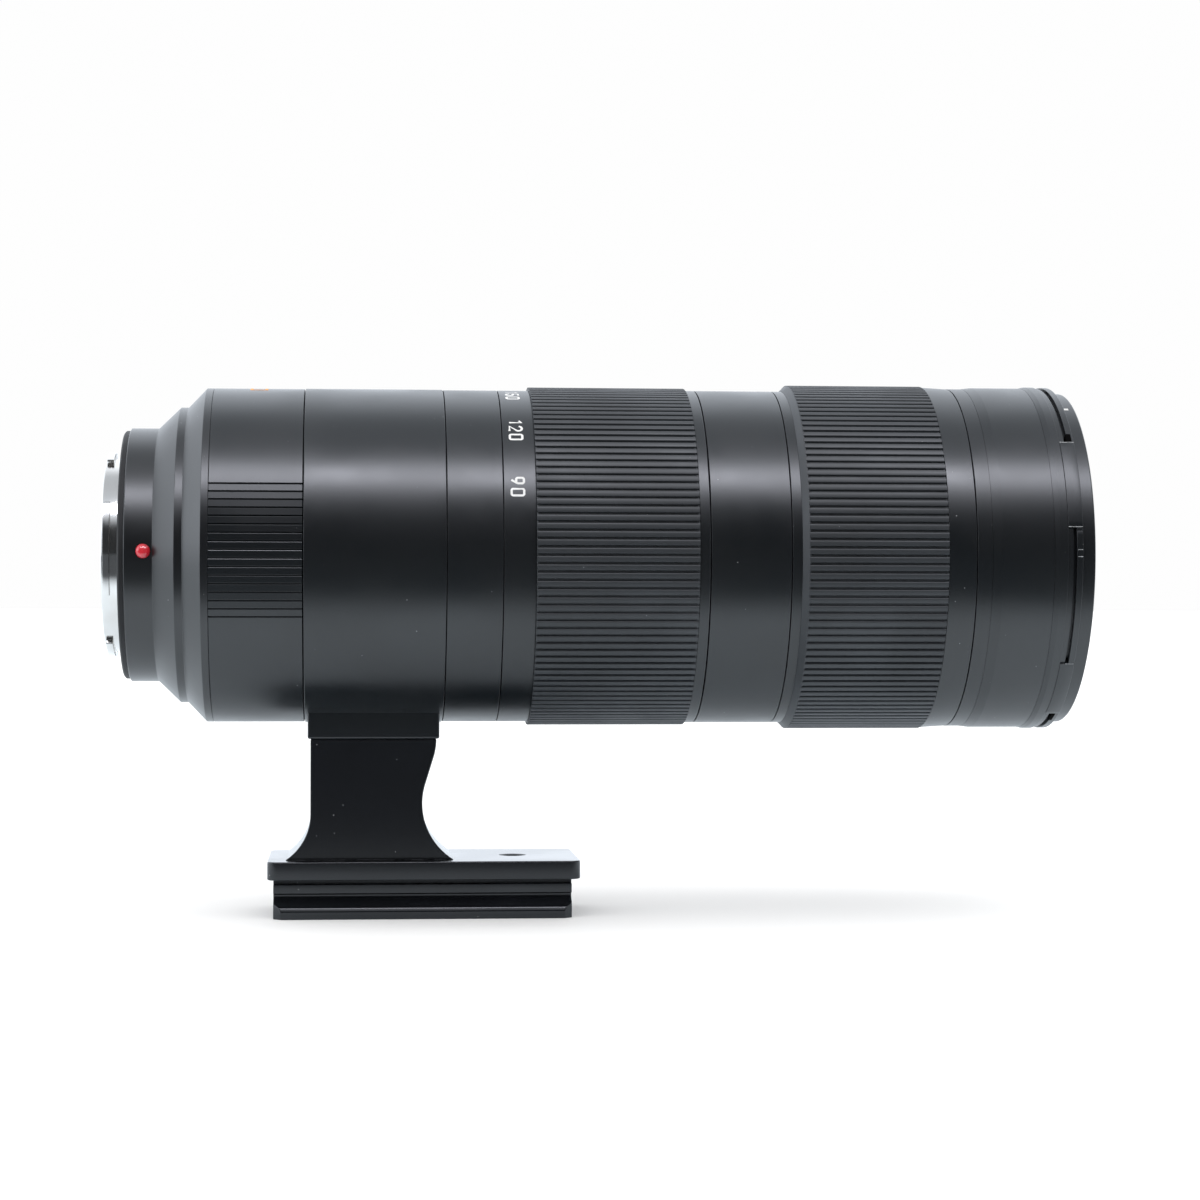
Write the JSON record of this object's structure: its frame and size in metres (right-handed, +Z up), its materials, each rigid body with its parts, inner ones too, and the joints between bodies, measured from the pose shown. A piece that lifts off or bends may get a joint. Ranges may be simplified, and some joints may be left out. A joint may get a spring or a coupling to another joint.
{
  "type": "camera zoom lens",
  "caption": "Long camera zoom lens with ribbed zoom and focus rings, a stepped rear with a bayonet mount, inner moving glass groups and a turning tripod collar with a dovetail foot.",
  "frame": {"origin": "centre of the camera flange face, on the optical axis", "axes": "+X along the optical axis to the front of the lens, +Z up, foot towards -Z"},
  "size_m": [0.2425, 0.097, 0.1346],
  "materials": {
    "black_metal": "satin black anodised",
    "inner_metal": "matt black anodised",
    "grey_metal": "plain turned aluminium",
    "chrome_mount": "polished hard chrome",
    "steel": "ground steel",
    "rubber_grip": "matt black rubber",
    "glass": "polished and coated",
    "gilt": "gilt",
    "black_plastic": "matt black",
    "red_bead": "gloss red",
    "board": "solder resist",
    "copper": "enamelled wire",
    "pale_plastic": "plain"
  },
  "bodies": {
    "barrel": {"mount_flange": "chrome_mount", "mount_screws": "steel", "flange_seal": "rubber_grip", "contact_block": "black_plastic", "contact_pins": "gilt", "rear_baffle": "black_plastic", "mount_cone": "black_metal", "index_bead": "red_bead", "rear_barrel": "black_metal", "main_tube": "grey_metal", "index_barrel": "black_metal", "mid_barrel": "black_metal", "front_barrel": "black_metal", "front_retainer": "inner_metal", "front_cell": "inner_metal", "front_glass_1": "glass", "front_glass_2": "glass", "front_glass_3": "glass", "guide_tube": "inner_metal", "iris_housing": "inner_metal", "iris_cover": "inner_metal", "iris_coils": "copper", "focus_rods": "steel", "focus_motor": "steel", "rear_cell": "inner_metal", "rear_glass_1": "glass", "rear_glass_2": "glass", "circuit_board": "board"},
    "collar": {"tripod_collar": "black_metal", "foot": "black_metal", "foot_screws": "steel", "brake_shoe": "pale_plastic"},
    "clamp": {"clamp_knob": "black_metal"},
    "zoom": {"zoom_ring": "black_metal", "zoom_grip": "rubber_grip", "zoom_key": "steel", "cam_tube": "grey_metal"},
    "variator": {"variator_cell": "inner_metal", "variator_glass_1": "glass", "variator_glass_2": "glass", "variator_followers": "steel"},
    "compensator": {"compensator_cell": "inner_metal", "compensator_glass": "glass", "compensator_followers": "steel"},
    "focus": {"focus_ring": "black_metal", "focus_grip": "rubber_grip"},
    "focus_group": {"focus_cell": "inner_metal", "focus_glass": "glass"},
    "screw": {"lead_screw": "steel"},
    "iris_drive": {"iris_drive_ring": "grey_metal"},
    "blade_1": {"iris_blade_1": "inner_metal"},
    "blade_2": {"iris_blade_2": "inner_metal"},
    "blade_3": {"iris_blade_3": "inner_metal"},
    "blade_4": {"iris_blade_4": "inner_metal"},
    "blade_5": {"iris_blade_5": "inner_metal"},
    "blade_6": {"iris_blade_6": "inner_metal"},
    "blade_7": {"iris_blade_7": "inner_metal"},
    "blade_8": {"iris_blade_8": "inner_metal"},
    "blade_9": {"iris_blade_9": "inner_metal"}
  },
  "joints": [
    {"name": "zoom_turn", "type": "hinge", "parent": "barrel", "child": "zoom", "pos_m": [0.1175, 0, 0], "axis": [1, 0, 0], "range_deg": [-68, 30]},
    {"name": "variator_slide", "type": "slide", "parent": "barrel", "child": "variator", "axis": [1, 0, 0], "range_m": [-0.0086, 0.01945]},
    {"name": "compensator_slide", "type": "slide", "parent": "barrel", "child": "compensator", "axis": [1, 0, 0], "range_m": [-0.00974, 0.0043]},
    {"name": "focus_turn", "type": "hinge", "parent": "barrel", "child": "focus", "pos_m": [0.185, 0, 0], "axis": [1, 0, 0], "continuous": true},
    {"name": "collar_turn", "type": "hinge", "parent": "barrel", "child": "collar", "pos_m": [0.0613, 0, 0], "axis": [1, 0, 0], "continuous": true},
    {"name": "clamp_turn", "type": "hinge", "parent": "collar", "child": "clamp", "pos_m": [0.06135, 0.048, 0], "axis": [0, 1, 0], "range_deg": [0, 540]},
    {"name": "focus_slide", "type": "slide", "parent": "barrel", "child": "focus_group", "axis": [1, 0, 0], "range_m": [-0.006, 0.006]},
    {"name": "screw_spin", "type": "hinge", "parent": "barrel", "child": "screw", "pos_m": [0.06, 0.0106, 0.02913], "axis": [1, 0, 0], "range_deg": [-1085, 1085]},
    {"name": "iris_turn", "type": "hinge", "parent": "barrel", "child": "iris_drive", "pos_m": [0.092, 0, 0], "axis": [1, 0, 0], "range_deg": [0, 17]},
    {"name": "blade_1_swing", "type": "hinge", "parent": "barrel", "child": "blade_1", "pos_m": [0.09, 0, -0.028], "axis": [1, 0, 0], "range_deg": [0, 34.2]},
    {"name": "blade_2_swing", "type": "hinge", "parent": "barrel", "child": "blade_2", "pos_m": [0.09, 0.018, -0.02145], "axis": [1, 0, 0], "range_deg": [0, 34.2]},
    {"name": "blade_3_swing", "type": "hinge", "parent": "barrel", "child": "blade_3", "pos_m": [0.09, 0.02757, -0.00486], "axis": [1, 0, 0], "range_deg": [0, 34.2]},
    {"name": "blade_4_swing", "type": "hinge", "parent": "barrel", "child": "blade_4", "pos_m": [0.09, 0.02425, 0.014], "axis": [1, 0, 0], "range_deg": [0, 34.2]},
    {"name": "blade_5_swing", "type": "hinge", "parent": "barrel", "child": "blade_5", "pos_m": [0.09, 0.00958, 0.02631], "axis": [1, 0, 0], "range_deg": [0, 34.2]},
    {"name": "blade_6_swing", "type": "hinge", "parent": "barrel", "child": "blade_6", "pos_m": [0.09, -0.00958, 0.02631], "axis": [1, 0, 0], "range_deg": [0, 34.2]},
    {"name": "blade_7_swing", "type": "hinge", "parent": "barrel", "child": "blade_7", "pos_m": [0.09, -0.02425, 0.014], "axis": [1, 0, 0], "range_deg": [0, 34.2]},
    {"name": "blade_8_swing", "type": "hinge", "parent": "barrel", "child": "blade_8", "pos_m": [0.09, -0.02757, -0.00486], "axis": [1, 0, 0], "range_deg": [0, 34.2]},
    {"name": "blade_9_swing", "type": "hinge", "parent": "barrel", "child": "blade_9", "pos_m": [0.09, -0.018, -0.02145], "axis": [1, 0, 0], "range_deg": [0, 34.2]}
  ],
  "couplings": [
    {"joint": "variator_slide", "follows": "zoom_turn", "m_per_rad": -0.01637},
    {"joint": "compensator_slide", "follows": "zoom_turn", "m_per_rad": 0.0081851},
    {"joint": "screw_spin", "follows": "focus_slide", "rad_per_m": 3141.6},
    {"joint": "blade_1_swing", "follows": "iris_turn", "ratio": 2},
    {"joint": "blade_2_swing", "follows": "iris_turn", "ratio": 2},
    {"joint": "blade_3_swing", "follows": "iris_turn", "ratio": 2},
    {"joint": "blade_4_swing", "follows": "iris_turn", "ratio": 2},
    {"joint": "blade_5_swing", "follows": "iris_turn", "ratio": 2},
    {"joint": "blade_6_swing", "follows": "iris_turn", "ratio": 2},
    {"joint": "blade_7_swing", "follows": "iris_turn", "ratio": 2},
    {"joint": "blade_8_swing", "follows": "iris_turn", "ratio": 2},
    {"joint": "blade_9_swing", "follows": "iris_turn", "ratio": 2}
  ]
}
